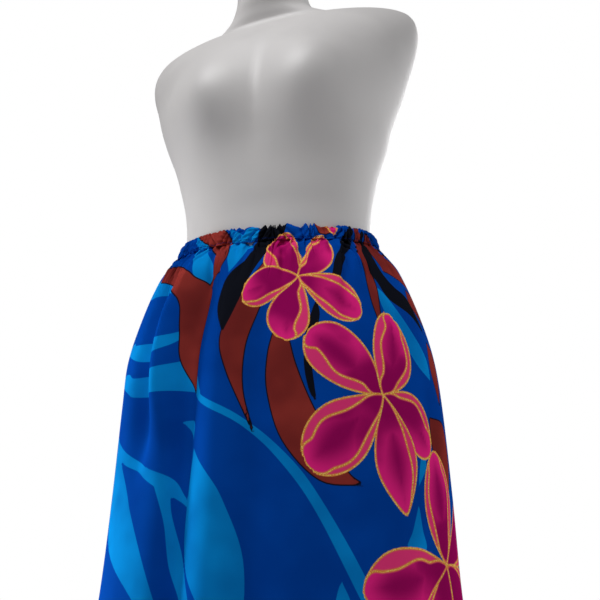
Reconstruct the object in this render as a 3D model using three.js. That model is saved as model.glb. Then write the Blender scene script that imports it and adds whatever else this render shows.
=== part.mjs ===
/**
 * An elastic-waist maxi skirt worn by a limbless dress form on its stand.
 *
 * Millimetres, +Z up. The origin is the middle of the base plate's underside.
 * The front faces -Y and +X is the viewer's right. Angles run round the body
 * from the front centre, positive towards +X, and `down` is measured along the
 * cloth's length from the top edge of the waist casing.
 */
import * as THREE from 'three';

const DEGREE = Math.PI / 180;

// Heights
const WAIST_HEIGHT = 1080;
const SKIRT_LENGTH = 1000;
const CASING_DEPTH = 20;

// Cloth
const WALL = 1.5;
const SEAM_GAP = 0.3;
const FIT_GAP = 0.4;
const PANEL_SPAN = 180 * DEGREE;
const NORMAL_STEP = 0.2 * DEGREE;

// Tilt of the waistline: rise of the ring per millimetre of x and of y, and
// the length over which the tilt dies out below and above the waist.
const WAIST_RISE = { x: 0.01, y: 0.12 };
const SHOULDER_RISE = 0.09;
const TILT_REACH = 300;

// Gathers of one panel. Each is three columns wide: a crest and a two-column valley.
const GATHERS = 56;
const COLUMNS_PER_GATHER = 3;
const GATHER_DEPTH = 3;
const GATHER_END = 70;
const GATHER_UNEVENNESS = 0.006;
const GATHER_BEATS = 5;

// The skirt's outer envelope, ring by ring.
const SKIRT_RINGS = [
  { at: 0, halfWidth: 121.5, ratio: 0.8, shift: 0 },
  { at: 20, halfWidth: 129.5, ratio: 0.8, shift: 0 },
  { at: 30, halfWidth: 137, ratio: 0.8, shift: -1 },
  { at: 50, halfWidth: 149.5, ratio: 0.81, shift: 0 },
  { at: 100, halfWidth: 168.5, ratio: 0.81, shift: 1 },
  { at: 150, halfWidth: 182, ratio: 0.81, shift: 2 },
  { at: 200, halfWidth: 187, ratio: 0.81, shift: 4 },
  { at: 300, halfWidth: 192.5, ratio: 0.81, shift: 5 },
  { at: 400, halfWidth: 198, ratio: 0.81, shift: 4 },
  { at: 500, halfWidth: 208, ratio: 0.81, shift: 3 },
  { at: 600, halfWidth: 218, ratio: 0.82, shift: 2 },
  { at: 800, halfWidth: 240, ratio: 0.83, shift: 1 },
  { at: 1000, halfWidth: 262, ratio: 0.84, shift: 0 },
];

// Folds of the skirt: the angle at the waist and lower down, the stretch of
// the length that each one covers, its angular width, its height out of the
// ring (negative for a valley) and how far the crest leans over per
// millimetre of height, towards the negative angle.
const FOLD_TURN = 220;
const FOLD_EASE = 90;
const FOLDS = [
  { top: 0, low: -3.8, from: 20, to: 1200, width: 7.2, height: 10, lean: 0.1 },
  { top: -15, low: -18, from: 20, to: 1200, width: 5.2, height: -13, lean: 0 },
  { top: 15.5, low: 6.5, from: 30, to: 1200, width: 7, height: -6.5, lean: 0 },
  { top: -30.2, low: -27.5, from: 20, to: 270, width: 6, height: 11, lean: 0.45 },
  { top: -41, low: -39.5, from: 20, to: 320, width: 6, height: -13, lean: 0 },
  { top: -25.5, low: -22, from: 20, to: 120, width: 3.2, height: 4, lean: 0.2 },
  { top: 38, low: 28, from: 20, to: 135, width: 3.4, height: 5, lean: -0.4 },
  { top: 44, low: 33, from: 20, to: 150, width: 3, height: -6, lean: 0 },
  { top: 60, low: 48, from: 20, to: 130, width: 4.2, height: 4, lean: 0 },
  { top: 74, low: 66, from: 300, to: 1200, width: 8, height: -8, lean: 0 },
  { top: 36, low: 34, from: 420, to: 1200, width: 9, height: -9, lean: 0 },
  { top: -50, low: -50, from: 420, to: 1200, width: 9, height: -9, lean: 0 },
  { top: 108, low: 112, from: 20, to: 1200, width: 6, height: -9, lean: 0 },
  { top: 122, low: 128, from: 20, to: 300, width: 4.6, height: 9, lean: 0.5 },
  { top: 150, low: 146, from: 60, to: 1200, width: 7, height: -9, lean: 0 },
  { top: 163, low: 162, from: 20, to: 240, width: 4.6, height: 8, lean: 0.4 },
  { top: 181, low: 178, from: 40, to: 1200, width: 6.5, height: -10, lean: 0 },
  { top: 193, low: 196, from: 20, to: 1200, width: 4.8, height: 9, lean: 0.5 },
  { top: 214, low: 216, from: 60, to: 1200, width: 7, height: -9, lean: 0 },
  { top: 232, low: 238, from: 20, to: 260, width: 4.6, height: 8, lean: 0.4 },
  { top: 250, low: 252, from: 80, to: 1200, width: 6.5, height: -8, lean: 0 },
];

// Casing profile: the half-width over the gathers' crests down its outer face,
// and how far its inner face stands out of the form.
const CASING_OUTER = [
  { at: 0, crest: 119.2 },
  { at: 1.6, crest: 121.8 },
  { at: 10, crest: 125.4 },
  { at: CASING_DEPTH, crest: 129.2 },
];
const CASING_INNER = [
  { at: 0, out: FIT_GAP },
  { at: 10, out: FIT_GAP },
  { at: CASING_DEPTH, out: 3 },
];
const CASING_DIP = 2.8;

// Rows of a panel, with the columns of its outer and inner faces.
const PANEL_TOP = CASING_DEPTH + SEAM_GAP;
const FINE = GATHERS * COLUMNS_PER_GATHER;
const MIDDLE = FINE / 2;
const COARSE = FINE / 4;
const PANEL_ROWS = [
  { at: PANEL_TOP, outer: FINE, inner: MIDDLE },
  { at: 30, outer: FINE, inner: MIDDLE },
  { at: 42, outer: MIDDLE, inner: MIDDLE },
  { at: 60, outer: MIDDLE, inner: MIDDLE },
  ...[85, 115, 150, 190, 240, 300, 370, 450, 540, 640, 750, 870, SKIRT_LENGTH].map(
    (at) => ({ at, outer: COARSE, inner: COARSE })),
];

// The dress form: rings at their height above the waist.
const FORM_COLUMNS = COARSE;
const FORM_RINGS = [
  { at: -300, halfWidth: 60, ratio: 0.8, shift: 0, lean: 0 },
  { at: -296, halfWidth: 118, ratio: 0.8, shift: 0, lean: 0 },
  { at: -280, halfWidth: 145, ratio: 0.81, shift: 0, lean: 0 },
  { at: -240, halfWidth: 159, ratio: 0.81, shift: 0, lean: 0 },
  { at: -190, halfWidth: 161, ratio: 0.8, shift: 0, lean: 0 },
  { at: -140, halfWidth: 155, ratio: 0.8, shift: 0, lean: 0 },
  { at: -90, halfWidth: 140, ratio: 0.8, shift: 0, lean: 0 },
  { at: -50, halfWidth: 126, ratio: 0.8, shift: 0, lean: 0 },
  { at: -CASING_DEPTH, halfWidth: 118.4, ratio: 0.8, shift: 0, lean: 0 },
  { at: -10, halfWidth: 116.5, ratio: 0.8, shift: 0, lean: 0 },
  { at: 0, halfWidth: 116, ratio: 0.8, shift: 0, lean: 0 },
  { at: 25, halfWidth: 117.5, ratio: 0.79, shift: 0, lean: 1 },
  { at: 50, halfWidth: 121.5, ratio: 0.78, shift: 0, lean: 2 },
  { at: 80, halfWidth: 129, ratio: 0.76, shift: -1, lean: 5 },
  { at: 110, halfWidth: 139, ratio: 0.73, shift: -1, lean: 9 },
  { at: 145, halfWidth: 150.5, ratio: 0.69, shift: -4, lean: 13 },
  { at: 180, halfWidth: 163.5, ratio: 0.64, shift: -4, lean: 17 },
  { at: 215, halfWidth: 174.5, ratio: 0.58, shift: -3, lean: 20 },
  { at: 250, halfWidth: 185, ratio: 0.51, shift: -3, lean: 23 },
  { at: 275, halfWidth: 187.5, ratio: 0.44, shift: -3, lean: 25 },
  { at: 293, halfWidth: 181, ratio: 0.38, shift: -3, lean: 25 },
  { at: 299, halfWidth: 171, ratio: 0.35, shift: -4, lean: 25 },
  { at: 304, halfWidth: 155, ratio: 0.35, shift: -3, lean: 24 },
  { at: 310, halfWidth: 131, ratio: 0.36, shift: -4, lean: 23 },
  { at: 318, halfWidth: 100, ratio: 0.42, shift: -8, lean: 21 },
  { at: 332, halfWidth: 68, ratio: 0.66, shift: -14, lean: 18 },
  { at: 350, halfWidth: 54, ratio: 0.92, shift: -14, lean: 15 },
  { at: 376, halfWidth: 49, ratio: 1.05, shift: -14, lean: 12 },
  { at: 440, halfWidth: 48, ratio: 1.05, shift: -15, lean: 6 },
  { at: 452, halfWidth: 44, ratio: 1.05, shift: -15, lean: 5 },
  { at: 458, halfWidth: 34, ratio: 1.05, shift: -15, lean: 5 },
];
const FORM_TOP = { at: 460, shift: -15, lean: 5 };
const BUST = { apart: 74, at: 178, reach: 46, height: 34 };

// Stand
const BASE_RADIUS = 175;
const BASE_THICKNESS = 12;
const BASE_EDGE = 3;
const BASE_SEGMENTS = 48;
const POLE_RADIUS = 12.5;
const POLE_SEGMENTS = 24;

const COLOURS = {
  cloth: 0x0b3f94,
  form: 0xe6e3e4,
  steel: 0xb9bbbe,
};

/** An easing from 0 at `low` to 1 at `high`. */
function ease(low, high, value) {
  return THREE.MathUtils.smoothstep(value, low, high);
}

/** Reads one column of a table at `at`, with a smooth curve through its rows. */
function read(table, column, at) {
  const last = table.length - 1;
  const next = at >= table[last].at ? last : table.findIndex((row) => row.at > at);
  const upper = Math.max(next, 1);
  const [p0, p1, p2, p3] = [-2, -1, 0, 1].map(
    (step) => table[THREE.MathUtils.clamp(upper + step, 0, last)]);
  const span = p2.at - p1.at;
  const t = THREE.MathUtils.clamp((at - p1.at) / span, 0, 1);
  const slopeIn = span * (p2[column] - p0[column]) / (p2.at - p0.at);
  const slopeOut = span * (p3[column] - p1[column]) / (p3.at - p1.at);
  return (2 * t ** 3 - 3 * t ** 2 + 1) * p1[column] + (t ** 3 - 2 * t ** 2 + t) * slopeIn
    + (3 * t ** 2 - 2 * t ** 3) * p2[column] + (t ** 3 - t ** 2) * slopeOut;
}

/** Height of the tilted waistline over the level one, dying out from the waist. */
function tilt(x, y, fromWaist) {
  const share = 1 - ease(0, TILT_REACH, Math.abs(fromWaist));
  const shoulder = fromWaist > 0 ? SHOULDER_RISE * x * (1 - share) : 0;
  return (WAIST_RISE.x * x + WAIST_RISE.y * y) * share + shoulder;
}

/** A point of a ring, moved `out` along the ring's normal and `along` its run. */
function ringPoint(ring, angle, out, along) {
  const [sin, cos] = [Math.sin(angle), Math.cos(angle)];
  const across = ring.halfWidth;
  const deep = ring.halfWidth * ring.ratio;
  const normal = new THREE.Vector2(sin / across, -cos / deep).normalize();
  return new THREE.Vector2(
    ring.shift + across * sin + out * normal.x - along * normal.y,
    -deep * cos + out * normal.y + along * normal.x);
}

/** The signed angle from `centre` to `angle`, the short way round. */
function turnTo(angle, centre) {
  const turn = angle - centre;
  return turn - 2 * Math.PI * Math.round(turn / (2 * Math.PI));
}

/** Height and lean of all the folds at one place of the cloth. */
function foldsAt(angle, down) {
  let [height, lean] = [0, 0];
  for (const fold of FOLDS) {
    const centre = THREE.MathUtils.lerp(fold.top, fold.low, ease(0, FOLD_TURN, down));
    const turn = turnTo(angle, centre * DEGREE) / (fold.width * DEGREE);
    const reach = ease(fold.from, fold.from + FOLD_EASE, down)
      * (1 - ease(fold.to - FOLD_EASE, fold.to, down));
    const rise = fold.height * reach * Math.exp(-turn * turn);
    height += rise;
    lean += rise * fold.lean;
  }
  return { height, lean };
}

/** The skirt's crest line in plan: its ring and folds, without the gathers. */
function skirtPlan(angle, down) {
  const ring = {
    halfWidth: read(SKIRT_RINGS, 'halfWidth', down),
    ratio: read(SKIRT_RINGS, 'ratio', down),
    shift: read(SKIRT_RINGS, 'shift', down),
  };
  const fold = foldsAt(angle, down);
  return ringPoint(ring, angle, fold.height, -fold.lean);
}

/** A point of the skirt, moved level inwards by `inset` from its crest line. */
function skirtPoint(angle, down, inset) {
  const run = skirtPlan(angle + NORMAL_STEP, down).sub(skirtPlan(angle - NORMAL_STEP, down));
  const inwards = new THREE.Vector2(-run.y, run.x).normalize();
  const plan = skirtPlan(angle, down).addScaledVector(inwards, inset);
  return new THREE.Vector3(plan.x, plan.y, WAIST_HEIGHT - down + tilt(plan.x, plan.y, -down));
}

/** Places a column across a panel, 0 to 1, with gathers of uneven width. */
function gatherPlace(share) {
  return share + GATHER_UNEVENNESS * Math.sin(2 * Math.PI * GATHER_BEATS * share);
}

/** How far a gather's valley dips under its crest, 0 to 1. */
function gatherDip(share) {
  return (1 - Math.cos(2 * Math.PI * GATHERS * share)) / 2;
}

/** The angle of a place across a half, leaving half of the seam gap at each end. */
function panelAngle(middle, share, deep) {
  const gap = SEAM_GAP / 2 / deep;
  return middle + (share - 0.5) * (PANEL_SPAN - 2 * gap);
}

/** Collects points and faces, row by row, into one closed mesh. */
class Shell {
  constructor() {
    this.points = [];
    this.faces = [];
  }

  /** Adds a row of points made by `place(share)`, for shares from 0 to 1. */
  row(columns, place) {
    return Array.from({ length: columns + 1 }, (_, column) => {
      const share = column / columns;
      this.points.push(place(share));
      return { index: this.points.length - 1, share };
    });
  }

  /** Adds a closed ring, whose last place is its first point again. */
  ring(columns, place) {
    const row = this.row(columns - 1, (share) => place(share * (columns - 1) / columns));
    row.forEach((item, column) => { item.share = column / columns; });
    return [...row, { index: row[0].index, share: 1 }];
  }

  /** Fills the strip between two rows, whatever number of columns each has. */
  stitch(first, second) {
    let [i, j] = [0, 0];
    while (i < first.length - 1 || j < second.length - 1) {
      const nextFirst = i < first.length - 1 ? first[i + 1].share : Infinity;
      const nextSecond = j < second.length - 1 ? second[j + 1].share : Infinity;
      if (nextFirst <= nextSecond) {
        this.faces.push(first[i].index, first[i + 1].index, second[j].index);
        i += 1;
      } else {
        this.faces.push(first[i].index, second[j + 1].index, second[j].index);
        j += 1;
      }
    }
  }

  /** Fills a sheet from its rows, in order. */
  sheet(rows) {
    rows.slice(1).forEach((row, index) => this.stitch(rows[index], row));
  }

  /** Closes an outer and an inner sheet of the same rows into one wall. */
  wall(outer, inner) {
    this.sheet(outer);
    this.sheet([...inner].reverse());
    this.stitch(inner[0], outer[0]);
    this.stitch(outer.at(-1), inner.at(-1));
    const edge = (rows, end) => rows.map(
      (row, index) => ({ index: row.at(end).index, share: index / (rows.length - 1) }));
    this.stitch(edge(outer, 0), edge(inner, 0));
    this.stitch(edge(inner, -1), edge(outer, -1));
  }

  /** The geometry. `turned` turns its faces round, for rows that run down the body. */
  geometry(turned = false) {
    const geometry = new THREE.BufferGeometry().setFromPoints(this.points);
    geometry.setIndex(turned ? [...this.faces].reverse() : this.faces);
    geometry.computeVertexNormals();
    return geometry;
  }
}

/** A named part of the model in its material. */
function piece(name, geometry, material) {
  const mesh = new THREE.Mesh(geometry, material);
  mesh.name = name;
  return mesh;
}

/** One panel of the skirt, centred on the angle `middle`. */
function panelGeometry(middle) {
  const shell = new Shell();
  const deepAt = (down) => read(SKIRT_RINGS, 'halfWidth', down) * read(SKIRT_RINGS, 'ratio', down);
  const angleAt = (share, down) => panelAngle(middle, gatherPlace(share), deepAt(down));
  const depthAt = (down) => GATHER_DEPTH * (1 - ease(PANEL_TOP, GATHER_END, down));
  const outer = PANEL_ROWS.map(({ at, outer: columns }) => shell.row(columns,
    (share) => skirtPoint(angleAt(share, at), at, depthAt(at) * gatherDip(share))));
  const inner = PANEL_ROWS.map(({ at, inner: columns }) => shell.row(columns,
    (share) => skirtPoint(angleAt(share, at), at, depthAt(at) + WALL)));
  shell.wall(outer, inner);
  return shell.geometry(true);
}

/** The form's ring at a height above the waist, `out` of its surface. */
function formPoint(angle, above, out) {
  const ring = {
    halfWidth: read(FORM_RINGS, 'halfWidth', above),
    ratio: read(FORM_RINGS, 'ratio', above),
    shift: read(FORM_RINGS, 'shift', above),
  };
  const point = ringPoint(ring, angle, out, 0);
  const aside = Math.abs(point.x) - BUST.apart;
  const reach = (aside ** 2 + (above - BUST.at) ** 2) / (2 * BUST.reach ** 2);
  const front = ease(0, 1, Math.cos(angle));
  const y = point.y + read(FORM_RINGS, 'lean', above) - BUST.height * front * Math.exp(-reach);
  return new THREE.Vector3(point.x, y, WAIST_HEIGHT + above + tilt(point.x, point.y, above));
}

/** One half of the waist casing, a thick gathered wall round hidden elastic. */
function casingGeometry(middle) {
  const shell = new Shell();
  const deep = read(FORM_RINGS, 'halfWidth', 0) * read(FORM_RINGS, 'ratio', 0);
  const angleAt = (share) => panelAngle(middle, share, deep);
  const outer = CASING_OUTER.map(({ at, crest }) => shell.row(FINE, (share) => {
    const out = crest - read(FORM_RINGS, 'halfWidth', -at) - CASING_DIP * gatherDip(share);
    return formPoint(angleAt(gatherPlace(share)), -at, out);
  }));
  const inner = CASING_INNER.map(({ at, out }) => shell.row(
    FORM_COLUMNS / 2, (share) => formPoint(angleAt(share), -at, out)));
  shell.wall(outer, inner);
  return shell.geometry(true);
}

/** The limbless form, closed at the neck and flat underneath. */
function formGeometry() {
  const shell = new Shell();
  const rings = FORM_RINGS.map(({ at }) => shell.ring(FORM_COLUMNS,
    (share) => formPoint(2 * Math.PI * share, at, 0)));
  const top = new THREE.Vector3(FORM_TOP.shift, FORM_TOP.lean,
    WAIST_HEIGHT + FORM_TOP.at + tilt(FORM_TOP.shift, 0, FORM_TOP.at));
  const bottom = new THREE.Vector3(0, 0, WAIST_HEIGHT + FORM_RINGS[0].at);
  const cap = (point) => shell.row(1, () => point).slice(0, 1);
  shell.sheet([cap(bottom), ...rings, cap(top)]);
  return shell.geometry();
}

/** The round base plate with a softened rim. */
function baseGeometry() {
  const profile = [
    [0, 0],
    [BASE_RADIUS - 1, 0],
    [BASE_RADIUS, 1],
    [BASE_RADIUS, BASE_THICKNESS - BASE_EDGE],
    [BASE_RADIUS - BASE_EDGE, BASE_THICKNESS],
    [0, BASE_THICKNESS],
  ].map(([radius, height]) => new THREE.Vector2(radius, height));
  return new THREE.LatheGeometry(profile, BASE_SEGMENTS).rotateX(90 * DEGREE);
}

/** The pole, from the base plate up to the form's underside. */
function poleGeometry() {
  const bottom = BASE_THICKNESS + SEAM_GAP;
  const length = WAIST_HEIGHT + FORM_RINGS[0].at - SEAM_GAP - bottom;
  return new THREE.CylinderGeometry(POLE_RADIUS, POLE_RADIUS, length, POLE_SEGMENTS)
    .rotateX(90 * DEGREE)
    .translate(0, 0, bottom + length / 2);
}

const cloth = new THREE.MeshStandardMaterial({
  color: COLOURS.cloth, roughness: 0.55, metalness: 0, side: THREE.DoubleSide,
});
const form = new THREE.MeshStandardMaterial({ color: COLOURS.form, roughness: 0.5, metalness: 0 });
const steel = new THREE.MeshStandardMaterial({ color: COLOURS.steel, roughness: 0.25, metalness: 1 });

const FRONT = 0;
const BACK = 180 * DEGREE;

const skirtOnForm = new THREE.Group();
skirtOnForm.add(
  piece('skirt_front', panelGeometry(FRONT), cloth),
  piece('skirt_back', panelGeometry(BACK), cloth),
  piece('casing_front', casingGeometry(FRONT), cloth),
  piece('casing_back', casingGeometry(BACK), cloth),
  piece('torso', formGeometry(), form),
  piece('pole', poleGeometry(), steel),
  piece('base', baseGeometry(), steel),
);

export default skirtOnForm;
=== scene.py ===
"""A long printed skirt with a gathered elastic waist, worn by a limbless dress form.

The skirt is two trapezoid panels, gathered unevenly into a narrow turned casing.
Lengths are metres, and millimetres where the print is drawn. The front faces -Y, +X
is the viewer's right, and angles run round the body from the front centre, positive
towards +X. `down` is measured along the cloth from the top edge of the casing. A place
on the flat cloth is (u, v): u from the panel's centre line, v down from that edge.
"""
import logging
import math
from dataclasses import dataclass
from enum import Enum
from typing import Sequence, Union

import bmesh
import bpy
import numpy as np
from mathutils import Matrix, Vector


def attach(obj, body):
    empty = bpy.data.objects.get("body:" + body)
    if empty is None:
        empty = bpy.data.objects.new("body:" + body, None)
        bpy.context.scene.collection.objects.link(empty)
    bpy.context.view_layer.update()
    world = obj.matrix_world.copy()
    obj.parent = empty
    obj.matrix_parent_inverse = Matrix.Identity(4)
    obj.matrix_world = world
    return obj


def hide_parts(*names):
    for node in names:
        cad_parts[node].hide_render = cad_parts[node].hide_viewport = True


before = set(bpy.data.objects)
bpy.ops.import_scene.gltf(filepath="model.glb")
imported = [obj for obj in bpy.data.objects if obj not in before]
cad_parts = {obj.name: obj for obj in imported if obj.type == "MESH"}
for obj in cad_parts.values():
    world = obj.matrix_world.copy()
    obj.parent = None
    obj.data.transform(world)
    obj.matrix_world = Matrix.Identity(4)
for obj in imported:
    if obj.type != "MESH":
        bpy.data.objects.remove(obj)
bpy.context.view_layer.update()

log = logging.getLogger("skirt")

Array = np.ndarray
Number = Union[float, "Value"]
Colour = tuple[float, float, float]
Range = tuple[float, float]
Place = tuple[float, float]
Point = tuple[float, float, float]

WAIST_HEIGHT = 1.080
SKIRT_LENGTH = 1.000
CASING_DEPTH = 0.020
FORM_BOTTOM, FORM_TOP = -0.300, 0.458
BODY = "root"
MM = 0.001
TINY = 1e-12
TOUCH = 1e-6


def ease(low: float, high: float, value: Array) -> Array:
    """Eases from 0 at `low` to 1 at `high`."""
    share = np.clip((np.asarray(value, float) - low) / (high - low), 0.0, 1.0)
    return share * share * (3.0 - 2.0 * share)


def smooth_run(stops: Array, steps: int) -> Array:
    """Runs a smooth curve through places.

    Args:
        stops: the places, one to a row.
        steps: points to each span.

    Returns:
        The curve's points, from the first stop to the last.
    """
    first, last = 2 * stops[0] - stops[1], 2 * stops[-1] - stops[-2]
    ends = np.concatenate([[first], stops, [last]])
    t = np.linspace(0.0, 1.0, steps, endpoint=False)[:, None]
    spans = [0.5 * (2 * b + (c - a) * t + (2 * a - 5 * b + 4 * c - d) * t ** 2
                    + (3 * b - a - 3 * c + d) * t ** 3)
             for a, b, c, d in zip(ends, ends[1:], ends[2:], ends[3:])]
    return np.concatenate([*spans, [stops[-1]]])


def linear(colour: Sequence[int]) -> Colour:
    """Turns a colour in display values, 0 to 255, into linear light."""
    return tuple(part / 12.92 if part <= 0.04045 else ((part + 0.055) / 1.055) ** 2.4
                 for part in (value / 255.0 for value in colour))


# --- Shader maths ---


class Value:
    """A number that varies over a surface: one node socket with arithmetic."""

    def __init__(self, graph: "Graph", socket: bpy.types.NodeSocket) -> None:
        """Wraps a socket of a graph."""
        self.graph = graph
        self.socket = socket

    def _math(self, operation: str, *values: Number) -> "Value":
        """Adds a Math node that works on the given values."""
        node = self.graph.node("ShaderNodeMath", {"operation": operation}, dict(enumerate(values)))
        return Value(self.graph, node.outputs[0])

    def __add__(self, other: Number) -> "Value":
        """Adds."""
        return self._math("ADD", self, other)

    __radd__ = __add__

    def __sub__(self, other: Number) -> "Value":
        """Subtracts."""
        return self._math("SUBTRACT", self, other)

    def __rsub__(self, other: Number) -> "Value":
        """Subtracts from a plain number."""
        return self._math("SUBTRACT", other, self)

    def __mul__(self, other: Number) -> "Value":
        """Multiplies."""
        return self._math("MULTIPLY", self, other)

    __rmul__ = __mul__

    def larger(self, other: Number) -> "Value":
        """The larger of the two."""
        return self._math("MAXIMUM", self, other)

    def smaller(self, other: Number) -> "Value":
        """The smaller of the two."""
        return self._math("MINIMUM", self, other)

    def size(self) -> "Value":
        """The number without its sign."""
        return self._math("ABSOLUTE", self)

    def part(self) -> "Value":
        """What is left over a whole number."""
        return self._math("FRACT", self)

    def step(self, low: float, high: float) -> "Value":
        """Steps smoothly from 0 to 1.

        Args:
            low: where the result is 0.
            high: where it is 1, which may be below `low`.

        Returns:
            The step.
        """
        if low > high:
            return 1.0 - self.step(high, low)
        node = self.graph.node("ShaderNodeMapRange", {"interpolation_type": "SMOOTHSTEP"},
                               {"Value": self, "From Min": low, "From Max": high})
        return Value(self.graph, node.outputs["Result"])


class Graph:
    """The node graph of a material or a world, filled through one method."""

    def __init__(self, owner: bpy.types.ID, output: str = "ShaderNodeOutputMaterial") -> None:
        """Empties a graph.

        Args:
            owner: the material or world.
            output: the type of its output node.
        """
        owner.use_nodes = True
        self.owner = owner
        self.tree = owner.node_tree
        self.tree.nodes.clear()
        self.output = self.node(output)

    @classmethod
    def named(cls, name: str) -> "Graph":
        """The graph of a new material."""
        return cls(bpy.data.materials.new(name))

    def node(self, kind: str, settings: dict | None = None,
             inputs: dict | None = None) -> bpy.types.Node:
        """Adds a node.

        Args:
            kind: the node's type.
            settings: its properties, set first.
            inputs: its sockets by name or number: constants, values or sockets.

        Returns:
            The new node.
        """
        node = self.tree.nodes.new(kind)
        for name, setting in (settings or {}).items():
            setattr(node, name, setting)
        for name, value in (inputs or {}).items():
            socket = node.inputs[name]
            if isinstance(value, Value):
                value = value.socket
            if isinstance(value, bpy.types.NodeSocket):
                self.tree.links.new(value, socket)
            else:
                socket.default_value = value
        return node

    def place(self) -> bpy.types.NodeSocket:
        """The place on the object."""
        return self.node("ShaderNodeTexCoord").outputs["Object"]

    def attribute(self, name: str) -> Value:
        """A number that the mesh carries."""
        node = self.node("ShaderNodeAttribute", {"attribute_name": name})
        return Value(self, node.outputs["Fac"])

    def noise(self, place: bpy.types.NodeSocket, scale: float, detail: float = 2.0,
              stretch: Sequence[float] = (1.0, 1.0, 1.0)) -> Value:
        """Makes soft noise from 0 to 1.

        Args:
            place: where it is read.
            scale: how fine it is.
            detail: how many finer layers it has.
            stretch: how many times as fine it is along each axis.

        Returns:
            The noise.
        """
        mapped = self.node("ShaderNodeMapping", None, {"Vector": place, "Scale": tuple(stretch)})
        node = self.node("ShaderNodeTexNoise", {"noise_dimensions": "3D"},
                         {"Vector": mapped.outputs[0], "Scale": scale, "Detail": detail})
        return Value(self, node.outputs["Fac"])

    def mix(self, share: Number, first: object, second: object) -> bpy.types.NodeSocket:
        """Mixes two colours.

        Args:
            share: the second colour's share.
            first: a linear colour or a socket.
            second: the same.

        Returns:
            The mixed colour's socket.
        """
        whole = [(*value, 1.0) if isinstance(value, tuple) and len(value) == 3 else value
                 for value in (first, second)]
        node = self.node("ShaderNodeMix", {"data_type": "RGBA"},
                         {0: share, 6: whole[0], 7: whole[1]})
        return node.outputs[2]

    def bump(self, height: Value, distance: float, strength: float = 1.0,
             under: bpy.types.NodeSocket | None = None) -> bpy.types.NodeSocket:
        """Bumps the normal.

        Args:
            height: the height, from 0 to 1.
            distance: the size of a height of 1, in metres.
            strength: how much of it is used.
            under: another bumped normal that this one lies on.

        Returns:
            The normal's socket.
        """
        inputs = {"Height": height, "Distance": distance, "Strength": strength}
        if under is not None:
            inputs["Normal"] = under
        return self.node("ShaderNodeBump", None, inputs).outputs["Normal"]

    def finish(self, **inputs: object) -> bpy.types.Material:
        """Adds the surface shader.

        Args:
            inputs: its sockets by name, with _ for each space.

        Returns:
            The finished material.
        """
        named = {name.replace("_", " "): value for name, value in inputs.items()}
        self.show(self.node("ShaderNodeBsdfPrincipled", None, named))
        return self.owner

    def show(self, shader: bpy.types.Node) -> None:
        """Leads a shader to the output."""
        self.tree.links.new(shader.outputs[0], self.output.inputs["Surface"])


# --- The print ---


class Ink(Enum):
    """The inks of the ground print, each with its own field on the mesh."""

    TURQUOISE = "turquoise"
    BROWN = "brown"
    BLACK = "black"


FAR = 30.0
HEART_FAR = 200.0
PETALS = 5
LAYERS = 2
BLADE_SWELL = ((0.20, 0.62), (0.50, 1.0), (0.80, 0.55))
BLOOM_SIZES = ((102, 62, 0.1), (110, 66, -0.1), (98, 58, 0.2), (114, 64, 0.0), (106, 60, 0.15))


@dataclass(frozen=True)
class Leaf:
    """A leaf, ribbon or stem of the print, between two curved sides, in millimetres.

    Both sides run from `base` to `tip` on the flat cloth, each past its own
    bends, so the shape is pointed at both ends.
    """

    base: Place
    tip: Place
    left: tuple[Place, ...]
    right: tuple[Place, ...]
    steps: int = 6

    def side(self, bends: tuple[Place, ...]) -> Array:
        """Points of a smooth curve from base to tip past the bends."""
        return smooth_run(np.array([self.base, *bends, self.tip], float), self.steps)

    def distance(self, u: Array, v: Array) -> Array:
        """Measures how far places are from the leaf's edge.

        Args:
            u: across the cloth.
            v: down the cloth.

        Returns:
            The distances, negative inside, and FAR a way off.
        """
        outline = np.concatenate([self.side(self.left), self.side(self.right)[-2:0:-1]])
        low, high = outline.min(axis=0) - FAR, outline.max(axis=0) + FAR
        near = (u > low[0]) & (u < high[0]) & (v > low[1]) & (v < high[1])
        found = np.full(u.shape, FAR)
        x, y = u[near], v[near]
        nearest = np.full(x.shape, FAR)
        inside = np.zeros(x.shape, bool)
        for (ax, ay), (bx, by) in zip(outline, np.roll(outline, -1, axis=0)):
            run_x, run_y = bx - ax, by - ay
            t = ((x - ax) * run_x + (y - ay) * run_y) / max(run_x ** 2 + run_y ** 2, TINY)
            t = np.clip(t, 0.0, 1.0)
            nearest = np.minimum(nearest, np.hypot(x - ax - t * run_x, y - ay - t * run_y))
            crossed = (ay > y) != (by > y)
            inside ^= crossed & (x < ax + (y - ay) * run_x / (run_y or TINY))
        found[near] = np.where(inside, -nearest, nearest)
        return found


def blade(base: Place, tip: Place, width: float, bow: float) -> Leaf:
    """Draws a plain leaf.

    Args:
        base: its foot.
        tip: its point.
        width: its greatest width.
        bow: how far its middle is moved aside.

    Returns:
        The leaf.
    """
    start, run = np.array(base), np.subtract(tip, base)
    across = np.array([-run[1], run[0]]) / math.hypot(*run)
    sides = [tuple(start + share * run + swell * (bow + side * width / 2) * across
                   for share, swell in BLADE_SWELL)
             for side in (-1.0, 1.0)]
    return Leaf(base, tip, *sides)


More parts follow.
